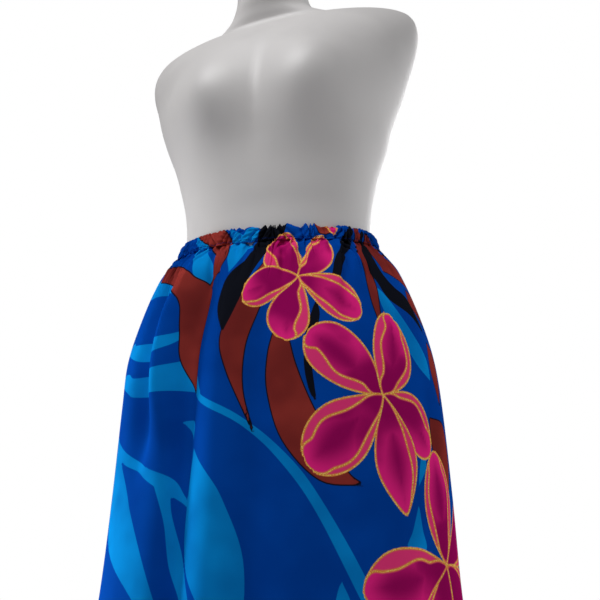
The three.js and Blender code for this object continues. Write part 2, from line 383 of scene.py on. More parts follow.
@dataclass(frozen=True)
class Petal:
    """One petal: where its tip points, its size in millimetres, its bend and its rims.

    `turn` is the direction in degrees, 0 to the right of the cloth and 90 down
    it. `bend` moves the tip aside, as a share of the width. `full` is the share
    of the length where it is widest and `blunt` how pointed its end is, small
    for a square one. `rims` are the widths of the rolled rims on the two
    sides, as shares of the half-width, for the side towards smaller turns first.
    """

    turn: float
    length: float
    width: float
    bend: float = 0.0
    rims: Range = (0.0, 0.35)
    full: float = 0.61
    blunt: float = 0.6

    WAVE, WAVES = 0.03, 9.0
    RIPPLE, RIPPLES = 0.22, 11.0
    RIM_ENDS = (0.02, 0.25, 0.80, 0.99)
    BEND_END = 1.1
    PROBE = 0.4

    def rough(self, u: Array, v: Array) -> Array:
        """Measures roughly how far places are from the petal's edge and rims.

        Args:
            u: across the cloth from the flower's centre.
            v: down the cloth from it.

        Returns:
            The distances from the edge, negative inside, and then the depths in
            the nearer rolled rim, positive in it.
        """
        angle = math.radians(self.turn)
        share = (u * math.cos(angle) + v * math.sin(angle)) / self.length
        bent = self.bend * self.width * np.clip(share, 0.0, self.BEND_END) ** 2
        across = v * math.cos(angle) - u * math.sin(angle) - bent
        inside = np.clip(share, 0.0, 1.0)
        power = math.log(0.5) / math.log(self.full)
        swell = np.maximum(np.sin(math.pi * inside ** power), 0.0) ** self.blunt
        half = 0.5 * self.width * swell * (1.0 + self.WAVE * np.sin(self.WAVES * inside + self.turn))
        past = np.maximum(-share, share - 1.0) * self.length
        edge = np.where(past > 0.0, np.hypot(past, across), np.abs(across) - half)
        start, full, thin, end = self.RIM_ENDS
        fade = ease(start, full, share) * (1.0 - ease(thin, end, share))
        ripple = 1.0 + self.RIPPLE * np.sin(self.RIPPLES * share + self.turn)
        low, high = (half * (1.0 - rim * fade * ripple) for rim in self.rims)
        return np.stack([edge, np.maximum(-across - low, across - high)])

    def fields(self, u: Array, v: Array) -> tuple[Array, Array]:
        """Finds true distances, from how fast the rough ones change.

        Args:
            u: across the cloth from the flower's centre.
            v: down the cloth from it.

        Returns:
            The distances from the edge and from the rim.
        """
        slope_u = self.rough(u + self.PROBE, v) - self.rough(u - self.PROBE, v)
        slope_v = self.rough(u, v + self.PROBE) - self.rough(u, v - self.PROBE)
        slope = np.hypot(slope_u, slope_v) / (2 * self.PROBE)
        edge, rim = self.rough(u, v) / np.maximum(slope, 1.0)
        return np.minimum(edge, FAR), rim


@dataclass(frozen=True)
class Flower:
    """A flower at a place of the flat cloth, with its petals in turn.

    Flowers that nearly touch are in different layers.
    """

    centre: Place
    petals: tuple[Petal, ...]
    layer: int = 0


def bloom(centre: Place, scale: float, turn: float) -> Flower:
    """Draws a whole flower of ordinary petals.

    Args:
        centre: its place.
        scale: its size against the ordinary one.
        turn: the direction of its first petal, in degrees.

    Returns:
        The flower.
    """
    petals = tuple(
        Petal(turn + 360.0 / PETALS * index, scale * length, scale * width, bend, (0.0, 0.36))
        for index, (length, width, bend) in enumerate(BLOOM_SIZES))
    return Flower(centre, petals)


@dataclass(frozen=True)
class PrintDesign:
    """The design of one panel: flowers over leaves of each ink."""

    flowers: tuple[Flower, ...]
    leaves: dict[Ink, tuple[Leaf, ...]]

    def fields(self, across: Array, down: Array) -> dict[str, Array]:
        """Works out the print's fields at places of the flat cloth.

        Args:
            across: metres from the panel's centre line.
            down: metres down the cloth.

        Returns:
            Distances in metres from the edges and rims, by field name.
        """
        u, v = across / MM, down / MM
        found = {"heart": np.full(u.shape, HEART_FAR)}
        for slot in range(LAYERS * PETALS):
            found[f"edge_{slot}"] = np.full(u.shape, FAR)
            found[f"rim_{slot}"] = np.full(u.shape, -FAR)
        for flower in self.flowers:
            du, dv = u - flower.centre[0], v - flower.centre[1]
            found["heart"] = np.minimum(found["heart"], np.hypot(du, dv))
            for index, petal in enumerate(flower.petals):
                slot = flower.layer * PETALS + index
                edge, rim = petal.fields(du, dv)
                nearer = edge < found[f"edge_{slot}"]
                found[f"edge_{slot}"] = np.where(nearer, edge, found[f"edge_{slot}"])
                found[f"rim_{slot}"] = np.where(nearer, rim, found[f"rim_{slot}"])
        for ink, leaves in self.leaves.items():
            found[ink.value] = np.min([leaf.distance(u, v) for leaf in leaves], axis=0)
        return {name: values * MM for name, values in found.items()}


FRONT_FLOWERS = (
    Flower((81, 71), (
        Petal(-125, 64, 58, -0.05, (0.4, 0.3), 0.64, 0.5),
        Petal(-39, 74, 36, -0.1, (0.3, 0.0), 0.6, 0.5),
        Petal(21, 91, 47, 0.25, (0.35, 0.3), 0.66, 0.5),
        Petal(100, 76, 50, -0.05, (0.5, 0.0), 0.62, 0.6),
        Petal(172, 68, 46, -0.2, (0.35, 0.0), 0.68, 0.45),
    )),
    Flower((176, 205), (
        Petal(-139, 106, 62, 0, (0.5, 0.0), 0.64, 0.5),
        Petal(-58, 90, 58, -0.45, (0.45, 0.3), 0.58, 0.6),
        Petal(24, 86, 52, 0.45, (0.35, 0.0), 0.62, 0.6),
        Petal(78, 120, 54, 0, (0.3, 0.0), 0.54, 0.85),
        Petal(142, 114, 66, 0, (0.25, 0.4), 0.64, 0.5),
    ), 1),
    Flower((275, 371), (
        Petal(-103, 114, 60, 0, (0.3, 0.3), 0.6, 0.7),
        Petal(-30, 104, 62, 0.1, (0.0, 0.35)),
        Petal(40, 110, 64, 0.1, (0.3, 0.0)),
        Petal(108, 112, 62, 0, (0.0, 0.4)),
        Petal(170, 128, 64, 0.1, (0.0, 0.45)),
    )),
    Flower((154, -85), (Petal(92, 100, 34, 0, (0.3, 0.3)),), 1),
    bloom((-190, 560), 1.1, 20),
    bloom((20, 700), 1.15, 48),
    bloom((-270, 870), 1.05, 5),
    bloom((255, 890), 1.1, 31),
)

FRONT_BROWN = (
    Leaf((-135, 0), (-55, 78),
         ((-100, 14), (-66, 30), (-53, 51)), ((-90, -4), (-52, 6), (-33, 32), (-40, 58))),
    Leaf((-195, 36), (-49, 200),
         ((-199, 50), (-154, 59), (-92, 85), (-77, 124), (-71, 162)),
         ((-149, 38), (-102, 50), (-81, 61), (-54, 73), (-44, 92), (-46, 156))),
    Leaf((40, 30), (29, 243),
         ((26, 60), (11, 101), (-3, 140), (5, 180)), ((51, 60), (40, 105), (25, 150), (21, 200))),
    Leaf((60, 125), (146, 294),
         ((50, 161), (48, 203), (61, 252), (99, 289)),
         ((72, 140), (80, 174), (97, 222), (126, 278))),
    Leaf((207, -2), (185, 135),
         ((196, 18), (181, 42), (178, 85)), ((216, 18), (194, 50), (189, 100))),
    Leaf((232, 4), (288, 76), ((212, 34), (220, 57), (250, 66)), ((250, 34), (268, 50))),
    Leaf((262, 78), (285, 120), ((257, 96),), ((292, 88),)),
    Leaf((273, 140), (285, 210), ((266, 172),), ((292, 156), (292, 184))),
    Leaf((248, 226), (291, 300), ((250, 256), (266, 280)), ((289, 232), (302, 266))),
    Leaf((118, -3), (156, 10), ((128, 14),), ((140, -4),)),
    blade((200, 500), (80, 600), 40, 12),
    blade((-60, 480), (-100, 690), 44, -14),
    blade((150, 640), (330, 720), 42, 10),
    blade((-150, 760), (-60, 960), 44, 14),
    blade((120, 820), (100, 990), 40, -10),
)

FRONT_BLACK = (
    Leaf((66, -3), (-1, 136),
         ((20, 0), (6, 36), (-15, 66), (-16, 100)), ((58, 14), (30, 36), (18, 67), (12, 104))),
    Leaf((107, 98), (101, 216),
         ((94, 134), (89, 170), (93, 202)), ((110, 120), (98, 156), (99, 196))),
    Leaf((196, -3), (125, 84),
         ((176, 12), (146, 36), (127, 64)), ((190, 16), (156, 46), (139, 70))),
    Leaf((226, 0), (274, 134),
         ((204, 26), (190, 56), (204, 92), (247, 112)), ((208, 50), (225, 76), (255, 92))),
    Leaf((236, 0), (300, 60), ((262, 34),), ((276, 30),)),
    blade((60, 460), (110, 590), 22, 8),
    blade((-300, 640), (-200, 760), 26, -8),
    blade((300, 560), (240, 700), 24, 8),
    blade((-20, 840), (40, 960), 24, 8),
)

FRONT_TURQUOISE = (
    Leaf((-145, -3), (-53, 75),
         ((-120, 18), (-101, 35), (-84, 58)), ((-108, 4), (-92, 20), (-67, 40), (-55, 57))),
    Leaf((-50, 0), (-17, 61), ((-34, 22), (-30, 43)), ((-18, 12), (-4, 30))),
    Leaf((5, -3), (-4, 30), ((-16, 10),), ((12, 12),)),
    Leaf((-236, 62), (-99, 79), ((-209, 48), (-157, 52)), ((-199, 74), (-162, 74))),
    Leaf((-242, 136), (-61, 121),
         ((-197, 130), (-183, 134), (-95, 131)), ((-197, 148), (-156, 156), (-86, 143))),
    Leaf((-260, 170), (-32, 204),
         ((-197, 168), (-170, 175), (-73, 163), (-65, 151)),
         ((-197, 190), (-167, 198), (-73, 196))),
    Leaf((-52, 196), (195, 470),
         ((-37, 201), (16, 227), (63, 264), (99, 304), (157, 386)),
         ((-40, 208), (16, 236), (62, 277), (99, 322), (146, 395))),
    Leaf((-258, 230), (-38, 327),
         ((-202, 250), (-153, 270), (-91, 286), (-70, 306)),
         ((-191, 268), (-145, 282), (-95, 301), (-53, 322))),
    Leaf((-126, 276), (-20, 440),
         ((-113, 290), (-95, 327), (-84, 374), (-60, 410)),
         ((-94, 290), (-85, 325), (-66, 366), (-40, 400))),
    Leaf((-219, 240), (-80, 440),
         ((-233, 300), (-219, 352), (-136, 398)), ((-183, 280), (-146, 328), (-107, 386))),
    Leaf((-54, 257), (4, 452),
         ((-65, 300), (-64, 360), (-24, 400)), ((-19, 287), (-1, 312), (21, 359), (22, 415))),
    Leaf((-75, 229), (-56, 251), ((-51, 231),), ((-58, 244),)),
    Leaf((188, 80), (261, 186),
         ((195, 112), (212, 142), (234, 170)), ((210, 98), (236, 132), (257, 160))),
    Leaf((229, 256), (219, 296), ((223, 276),), ((234, 276),)),
    Leaf((219, 312), (229, 362), ((210, 336), (202, 352)), ((227, 336), (237, 352))),
    Leaf((124, 376), (124, 450), ((118, 400),), ((136, 404),)),
    blade((-320, 440), (-280, 660), 50, 20),
    blade((40, 520), (-60, 560), 20, 6),
    blade((200, 560), (160, 800), 40, -26),
    blade((-180, 700), (0, 840), 34, -30),
    blade((360, 700), (320, 980), 44, 20),
    blade((-380, 740), (-360, 980), 40, -12),
    blade((140, 900), (0, 990), 34, 12),
)

FRONT_PRINT = PrintDesign(FRONT_FLOWERS, {
    Ink.TURQUOISE: FRONT_TURQUOISE,
    Ink.BROWN: FRONT_BROWN,
    Ink.BLACK: FRONT_BLACK,
})

BACK_FLOWERS = (
    bloom((-110, 130), 0.86, 12),
    bloom((130, 290), 1.05, 40),
    bloom((-170, 420), 1.0, 64),
    bloom((60, 590), 1.12, 8),
    bloom((-250, 720), 1.05, 30),
    bloom((260, 780), 1.1, 52),
    bloom((-20, 880), 1.05, 22),
)

BACK_BROWN = (
    blade((50, 0), (110, 190), 40, -16),
    blade((-220, 10), (-240, 200), 36, 12),
    blade((-20, 200), (-60, 400), 44, 16),
    blade((250, 330), (240, 560), 42, -18),
    blade((-60, 460), (-150, 640), 44, 14),
    blade((150, 660), (120, 860), 40, 12),
    blade((-140, 780), (-200, 970), 40, -12),
)

BACK_BLACK = (
    blade((-40, 0), (20, 110), 26, 10),
    blade((200, 20), (230, 150), 24, 8),
    blade((20, 300), (50, 460), 22, -10),
    blade((-290, 480), (-230, 600), 26, 8),
    blade((180, 460), (230, 640), 24, -10),
)

BACK_TURQUOISE = (
    blade((120, 10), (250, 230), 36, 22),
    blade((-270, 80), (-290, 340), 44, -14),
    blade((-60, 230), (-200, 320), 26, 14),
    blade((0, 420), (200, 480), 30, -18),
    blade((330, 480), (300, 700), 44, 16),
    blade((-100, 660), (60, 780), 34, -20),
    blade((-350, 620), (-360, 900), 44, 16),
    blade((100, 840), (220, 990), 34, 16),
)

BACK_PRINT = PrintDesign(BACK_FLOWERS, {
    Ink.TURQUOISE: BACK_TURQUOISE,
    Ink.BROWN: BACK_BROWN,
    Ink.BLACK: BACK_BLACK,
})


# --- Surfaces ---


@dataclass(frozen=True)
class RingTable:
    """Level rings of a body. Each row is its place and then its sizes."""

    rows: tuple[tuple[float, ...], ...]

    def read(self, column: int, at: Array) -> Array:
        """Reads one column, with a smooth curve through the rows.

        Args:
            column: the column's number.
            at: the places to read it at.

        Returns:
            Its sizes there.
        """
        table = np.array(self.rows)
        place, size = table[:, 0], table[:, column]
        last = len(place) - 1
        upper = np.clip(np.searchsorted(place, at, side="right"), 1, last)
        p0, p1, p2, p3 = (np.clip(upper + step, 0, last) for step in (-2, -1, 0, 1))
        span = place[p2] - place[p1]
        t = np.clip((at - place[p1]) / span, 0.0, 1.0)
        slope_in = span * (size[p2] - size[p0]) / (place[p2] - place[p0])
        slope_out = span * (size[p3] - size[p1]) / (place[p3] - place[p1])
        return ((2 * t ** 3 - 3 * t ** 2 + 1) * size[p1] + (t ** 3 - 2 * t ** 2 + t) * slope_in
                + (3 * t ** 2 - 2 * t ** 3) * size[p2] + (t ** 3 - t ** 2) * slope_out)


@dataclass(frozen=True)
class Tilt:
    """The waistline's tilt, dying out away from it, and the shoulders' rise."""

    rise_x: float = 0.01
    rise_y: float = 0.12
    shoulder: float = 0.09
    reach: float = 0.300

    def height(self, x: Array, y: Array, above: Array) -> Array:
        """Gives how far a place lies over its level ring.

        Args:
            x: its place sideways.
            y: its place from front to back.
            above: the ring's height above the waist.

        Returns:
            The height over the ring.
        """
        share = 1.0 - ease(0.0, self.reach, np.abs(above))
        shoulder = np.where(above > 0.0, self.shoulder * x * (1.0 - share), 0.0)
        return (self.rise_x * x + self.rise_y * y) * share + shoulder


TILT = Tilt()


def ring_point(across: Array, deep: Array, shift: Array, angle: Array,
               out: Array, along: Array) -> tuple[Array, Array]:
    """Gives points of an oval ring.

    Args:
        across: half its width.
        deep: half its depth.
        shift: how far it is moved sideways.
        angle: each point's angle.
        out: how far the point is moved out along the normal.
        along: how far it is moved along the ring.

    Returns:
        The points' x and y.
    """
    sin, cos = np.sin(angle), np.cos(angle)
    normal_x, normal_y = sin / across, -cos / deep
    length = np.hypot(normal_x, normal_y)
    normal_x, normal_y = normal_x / length, normal_y / length
    return (shift + across * sin + out * normal_x - along * normal_y,
            -deep * cos + out * normal_y + along * normal_x)


@dataclass(frozen=True)
class Fold:
    """One fold that runs down the skirt.

    `top` and `low` are its angles at the waist and lower down, `start` and
    `end` the stretch of the length that it covers (past the hem where it runs
    out of it), `width` its angular width, `height` its height out of the ring
    (negative for a valley) and `lean` how far its crest leans over for each
    part of its height. TURN is the length over which it gets from one angle to
    the other and EASE the length over which it begins and ends.
    """

    top: float
    low: float
    start: float
    end: float
    width: float
    height: float
    lean: float = 0.0

    TURN = 0.220
    EASE = 0.090

    def rise(self, angle: Array, down: Array) -> Array:
        """Gives the fold's height at places of the cloth.

        Args:
            angle: the places' angles.
            down: their distances down.

        Returns:
            The heights.
        """
        centre = np.radians(self.top + (self.low - self.top) * ease(0.0, self.TURN, down))
        turn = angle - centre
        turn = turn - 2 * math.pi * np.round(turn / (2 * math.pi))
        reach = (ease(self.start, self.start + self.EASE, down)
                 * (1.0 - ease(self.end - self.EASE, self.end, down)))
        return self.height * reach * np.exp(-(turn / math.radians(self.width)) ** 2)


FOLDS = (
    Fold(0.0, -3.8, 0.020, 1.2, 7.2, 0.010, 0.1),
    Fold(-15.0, -18.0, 0.020, 1.2, 5.2, -0.013),
    Fold(15.5, 6.5, 0.030, 1.2, 7.0, -0.0065),
    Fold(-30.2, -27.5, 0.020, 0.270, 6.0, 0.011, 0.45),
    Fold(-41.0, -39.5, 0.020, 0.320, 6.0, -0.013),
    Fold(-25.5, -22.0, 0.020, 0.120, 3.2, 0.004, 0.2),
    Fold(38.0, 28.0, 0.020, 0.135, 3.4, 0.005, -0.4),
    Fold(44.0, 33.0, 0.020, 0.150, 3.0, -0.006),
    Fold(60.0, 48.0, 0.020, 0.130, 4.2, 0.004),
    Fold(74.0, 66.0, 0.300, 1.2, 8.0, -0.008),
    Fold(36.0, 34.0, 0.420, 1.2, 9.0, -0.009),
    Fold(-50.0, -50.0, 0.420, 1.2, 9.0, -0.009),
    Fold(108.0, 112.0, 0.020, 1.2, 6.0, -0.009),
    Fold(122.0, 128.0, 0.020, 0.300, 4.6, 0.009, 0.5),
    Fold(150.0, 146.0, 0.060, 1.2, 7.0, -0.009),
    Fold(163.0, 162.0, 0.020, 0.240, 4.6, 0.008, 0.4),
    Fold(181.0, 178.0, 0.040, 1.2, 6.5, -0.010),
    Fold(193.0, 196.0, 0.020, 1.2, 4.8, 0.009, 0.5),
    Fold(214.0, 216.0, 0.060, 1.2, 7.0, -0.009),
    Fold(232.0, 238.0, 0.020, 0.260, 4.6, 0.008, 0.4),
    Fold(250.0, 252.0, 0.080, 1.2, 6.5, -0.008),
)


class Crease(Fold):
    """A short crease that starts at the gathered waist."""

    TURN = 0.110
    EASE = 0.035
    START = -0.010


def creases(*rows: tuple[float, ...]) -> tuple[Crease, ...]:
    """Creases from rows of top angle, low angle, end, width and height."""
    return tuple(Crease(top, low, Crease.START, *sizes) for top, low, *sizes in rows)


FRONT_CREASES = creases(
    (-62.0, -52.0, 0.080, 1.5, -0.003),
    (-54.0, -46.0, 0.065, 1.3, 0.003),
    (-47.0, -40.0, 0.070, 1.5, -0.004),
    (-36.0, -33.0, 0.060, 1.2, -0.003),
    (-29.5, -25.0, 0.090, 1.8, 0.003),
    (-19.0, -14.5, 0.096, 1.3, -0.005),
    (-11.0, -9.0, 0.070, 1.4, 0.003),
    (-0.5, -1.0, 0.085, 1.4, -0.004),
    (7.0, 5.0, 0.070, 1.2, -0.003),
    (16.5, 15.5, 0.085, 1.4, -0.004),
    (20.5, 19.0, 0.070, 1.3, 0.003),
    (25.0, 23.0, 0.080, 1.2, -0.003),
    (33.0, 29.0, 0.060, 1.2, -0.003),
    (47.0, 36.0, 0.090, 1.4, 0.003),
    (52.0, 40.0, 0.080, 1.5, -0.003),
    (61.0, 53.0, 0.090, 1.5, -0.004),
    (70.0, 64.0, 0.070, 1.4, -0.003),
)

BACK_CREASES = creases(
    (104.0, 108.0, 0.080, 1.4, -0.004),
    (117.0, 120.0, 0.070, 1.5, 0.003),
    (131.0, 136.0, 0.095, 1.3, -0.004),
    (141.0, 143.0, 0.065, 1.2, -0.003),
    (155.0, 157.0, 0.085, 1.5, 0.003),
    (170.0, 169.0, 0.110, 1.3, -0.005),
    (186.0, 187.0, 0.070, 1.4, -0.003),
    (201.0, 203.0, 0.090, 1.3, -0.004),
    (209.0, 212.0, 0.060, 1.2, 0.003),
    (222.0, 228.0, 0.085, 1.4, -0.004),
    (241.0, 247.0, 0.075, 1.5, -0.003),
    (257.0, 259.0, 0.080, 1.3, -0.004),
)

SKIRT_RINGS = RingTable((
    (0.000, 0.1215, 0.80, 0.000),
    (0.020, 0.1295, 0.80, 0.000),
    (0.030, 0.1370, 0.80, -0.001),
    (0.050, 0.1495, 0.81, 0.000),
    (0.100, 0.1685, 0.81, 0.001),
    (0.150, 0.1820, 0.81, 0.002),
    (0.200, 0.1870, 0.81, 0.004),
    (0.300, 0.1925, 0.81, 0.005),
    (0.400, 0.1980, 0.81, 0.004),
    (0.500, 0.2080, 0.81, 0.003),
    (0.600, 0.2180, 0.82, 0.002),
    (0.800, 0.2400, 0.83, 0.001),
    (1.000, 0.2620, 0.84, 0.000),
))

FORM_RINGS = RingTable((
    (-0.300, 0.0600, 0.80, 0.000, 0.000),
    (-0.296, 0.1180, 0.80, 0.000, 0.000),
    (-0.280, 0.1450, 0.81, 0.000, 0.000),
    (-0.240, 0.1590, 0.81, 0.000, 0.000),
    (-0.190, 0.1610, 0.80, 0.000, 0.000),
    (-0.140, 0.1550, 0.80, 0.000, 0.000),
    (-0.090, 0.1400, 0.80, 0.000, 0.000),
    (-0.050, 0.1260, 0.80, 0.000, 0.000),
    (-0.020, 0.1184, 0.80, 0.000, 0.000),
    (-0.010, 0.1165, 0.80, 0.000, 0.000),
    (0.000, 0.1160, 0.80, 0.000, 0.000),
    (0.025, 0.1175, 0.79, 0.000, 0.001),
    (0.050, 0.1215, 0.78, 0.000, 0.002),
    (0.080, 0.1290, 0.76, -0.001, 0.005),
    (0.110, 0.1390, 0.73, -0.001, 0.009),
    (0.145, 0.1505, 0.69, -0.004, 0.013),
    (0.180, 0.1635, 0.64, -0.004, 0.017),
    (0.215, 0.1745, 0.58, -0.003, 0.020),
    (0.250, 0.1850, 0.51, -0.003, 0.023),
    (0.275, 0.1875, 0.44, -0.003, 0.025),
    (0.293, 0.1810, 0.38, -0.003, 0.025),
    (0.299, 0.1710, 0.35, -0.004, 0.025),
    (0.304, 0.1550, 0.35, -0.003, 0.024),
    (0.310, 0.1310, 0.36, -0.004, 0.023),
    (0.318, 0.1000, 0.42, -0.008, 0.021),
    (0.332, 0.0680, 0.66, -0.014, 0.018),
    (0.350, 0.0540, 0.92, -0.014, 0.015),
    (0.376, 0.0490, 1.05, -0.014, 0.012),
    (0.440, 0.0480, 1.05, -0.015, 0.006),
    (0.452, 0.0440, 1.05, -0.015, 0.005),
    (0.458, 0.0340, 1.05, -0.015, 0.005),
))


@dataclass(frozen=True)
class SkirtSurface:
    """The skirt's hanging shape, from its rings and folds."""

    rings: RingTable = SKIRT_RINGS
    folds: tuple[Fold, ...] = FOLDS
    step: float = math.radians(0.2)
    samples: int = 901

    def plan(self, angle: Array, down: Array) -> tuple[Array, Array]:
        """Gives the crest line in plan.

        Args:
            angle: the places' angles.
            down: their distances down.

        Returns:
            Their x and y.
        """
        across = self.rings.read(1, down)
        deep = across * self.rings.read(2, down)
        rises = [fold.rise(angle, down) for fold in self.folds]
        height = sum(rises)
        lean = sum(rise * fold.lean for rise, fold in zip(rises, self.folds))
        return ring_point(across, deep, self.rings.read(3, down), angle, height, -lean)

    def place(self, angle: Array, down: Array, inset: Array) -> Array:
        """Gives points of the cloth.

        Args:
            angle: the points' angles.
            down: their distances down.
            inset: how far they lie inside the crest line, measured level.

        Returns:
            The points, one to a row.
        """
        x, y = self.plan(angle, down)
        ahead, behind = self.plan(angle + self.step, down), self.plan(angle - self.step, down)
        run_x, run_y = ahead[0] - behind[0], ahead[1] - behind[1]
        length = np.hypot(run_x, run_y)
        x, y = x - inset * run_y / length, y + inset * run_x / length
        return np.stack([x, y, WAIST_HEIGHT - down + TILT.height(x, y, -down)], axis=-1)

    def angles(self, middle: float, share: Array, row: Array, downs: Array) -> Array:
        """Finds the angles of shares of a half's length along the cloth.

        Args:
            middle: the angle of the half's middle, in radians.
            share: each point's share from 0 to 1.
            row: each point's row.
            downs: the distance down of each row.

        Returns:
            The angle of each point, so that even shares are even lengths.
        """
        fine = middle + np.linspace(-0.5, 0.5, self.samples) * math.pi
        found = np.empty_like(share)
        for index, down in enumerate(downs):
            x, y = self.plan(fine, np.full(fine.shape, down))
            run = np.concatenate([[0.0], np.cumsum(np.hypot(np.diff(x), np.diff(y)))])
            here = row == index
            found[here] = np.interp(share[here], run / run[-1], fine)
        return found


@dataclass(frozen=True)
class FormSurface:
    """The dress form's shape, from its rings and bust."""

    rings: RingTable = FORM_RINGS
    bust_apart: float = 0.074
    bust_at: float = 0.178
    bust_reach: float = 0.046
    bust_height: float = 0.034

    def place(self, angle: Array, above: Array, out: Array) -> Array:
        """Gives points on or near the form.

        Args:
            angle: the points' angles.
            above: their heights above the waist.
            out: how far they lie out of the surface.

        Returns:
            The points, one to a row.
        """
        across = self.rings.read(1, above)
        deep = across * self.rings.read(2, above)
        x, y = ring_point(across, deep, self.rings.read(3, above), angle, out, np.zeros_like(out))
        aside = np.abs(x) - self.bust_apart
        reach = (aside ** 2 + (above - self.bust_at) ** 2) / (2 * self.bust_reach ** 2)
        front = ease(0.0, 1.0, np.cos(angle))
        y = y + self.rings.read(4, above) - self.bust_height * front * np.exp(-reach)
        return np.stack([x, y, WAIST_HEIGHT + above + TILT.height(x, y, above)], axis=-1)


# --- Meshes ---


class Sheet:
    """A grid of cloth or shell, made flat and then moved to its places.

    `share` holds each point's place across the grid, 0 to 1, and `row` its row.
    """

    def __init__(self, name: str, rows: int, columns: int,
                 finer: Sequence[int] = ()) -> None:
        """Makes the flat grid.

        Args:
            name: the piece's name.
            rows: rows of points.
            columns: columns of points.
            finer: for each halving of the columns' spacing, the row where it ends.
        """
        self.name = name
        bm = bmesh.new()
        bmesh.ops.create_grid(bm, x_segments=columns - 1, y_segments=rows - 1, size=0.5)
        for last in finer:
            limit = 0.5 - (last + 0.5) / (rows - 1)
            across = [edge for edge in bm.edges if min(v.co.y for v in edge.verts) > limit
                      and abs(edge.verts[0].co.y - edge.verts[1].co.y) < TOUCH]
            bmesh.ops.subdivide_edges(bm, edges=across, cuts=1)
        self.mesh = bpy.data.meshes.new(name)
        bm.to_mesh(self.mesh)
        bm.free()
        flat = np.empty(3 * len(self.mesh.vertices))
        self.mesh.vertices.foreach_get("co", flat)
        flat = flat.reshape(-1, 3)
        self.share = flat[:, 0] + 0.5
        self.row = np.rint((0.5 - flat[:, 1]) * (rows - 1)).astype(int)

    def build(self, places: Array, fields: dict[str, Array] | None = None,
              joined: bool = False) -> bpy.types.Object:
        """Moves the grid's points to their places and makes the object.

        Args:
            places: where each point goes.
            fields: numbers for each point, by name, kept on the mesh.
            joined: whether points that meet become one.

        Returns:
            The new object, at the origin.
        """
        self.mesh.vertices.foreach_set("co", places.ravel())
        for name, values in (fields or {}).items():
            self.mesh.attributes.new(name, "FLOAT", "POINT").data.foreach_set("value", values)
        bm = bmesh.new()
        bm.from_mesh(self.mesh)
        if joined:
            bmesh.ops.remove_doubles(bm, verts=bm.verts, dist=TOUCH)
        bpy.data.meshes.remove(self.mesh)
        return make_object(self.name, bm)


def make_object(name: str, bm: bmesh.types.BMesh) -> bpy.types.Object:
    """Turns a bmesh into a smooth object at the origin.

    Args:
        name: the object's name.
        bm: its shape, which is used up.

    Returns:
        The object.
    """
    mesh = bpy.data.meshes.new(name)
    bm.to_mesh(mesh)
    bm.free()
    mesh.polygons.foreach_set("use_smooth", [True] * len(mesh.polygons))
    piece = bpy.data.objects.new(name, mesh)
    bpy.context.scene.collection.objects.link(piece)
    return piece


def dress(piece: bpy.types.Object, slot: str, material: bpy.types.Material,
          *nodes: str) -> None:
    """Gives a piece its material and its place in the frame.

    Args:
        piece: the piece.
        slot: not used.
        material: its material.
        nodes: the solids that it stands for.
    """
    piece.data.materials.append(material)
    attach(piece, BODY)
    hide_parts(*nodes)


# --- Finishes ---


